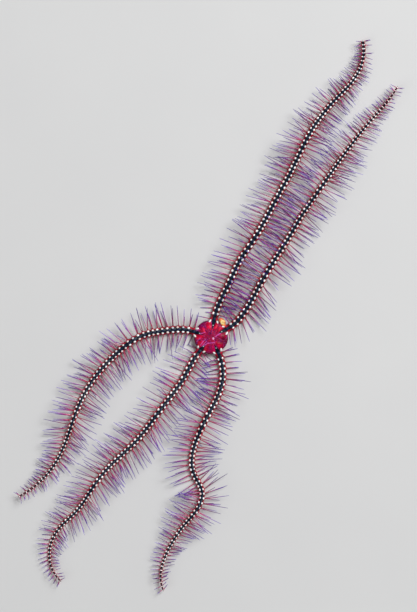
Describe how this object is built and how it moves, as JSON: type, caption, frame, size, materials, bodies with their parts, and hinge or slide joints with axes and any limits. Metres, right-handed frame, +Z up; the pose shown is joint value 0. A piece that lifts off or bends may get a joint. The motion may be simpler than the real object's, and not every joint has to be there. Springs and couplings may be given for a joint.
{
  "type": "brittle star",
  "caption": "still, life-size brittle star with long spiny arms, laid flat in the pose it holds when it clings to a sponge",
  "frame": {"origin": "the point of the floor under the middle of the disc, on the disc's flat underside", "axes": "+Z is up out of the floor, +Y is the top of the picture and +X its right side"},
  "size_m": [0.1373, 0.198, 0.0108],
  "materials": {
    "disc_skin": "soft, finely grained crimson skin with darker raised shields",
    "arm_plates": "hard glossy plates, dark along the top with a white bead at each joint, glassy violet spines"
  },
  "bodies": {
    "root": {"disc": "disc_skin", "arm_top_base": "arm_plates", "arm_top_middle": "arm_plates", "arm_top_tip": "arm_plates", "arm_right_base": "arm_plates", "arm_right_middle": "arm_plates", "arm_right_tip": "arm_plates", "arm_lower_right_base": "arm_plates", "arm_lower_right_middle": "arm_plates", "arm_lower_right_tip": "arm_plates", "arm_lower_left_base": "arm_plates", "arm_lower_left_middle": "arm_plates", "arm_lower_left_tip": "arm_plates", "arm_left_base": "arm_plates", "arm_left_middle": "arm_plates", "arm_left_tip": "arm_plates"}
  },
  "joints": []
}
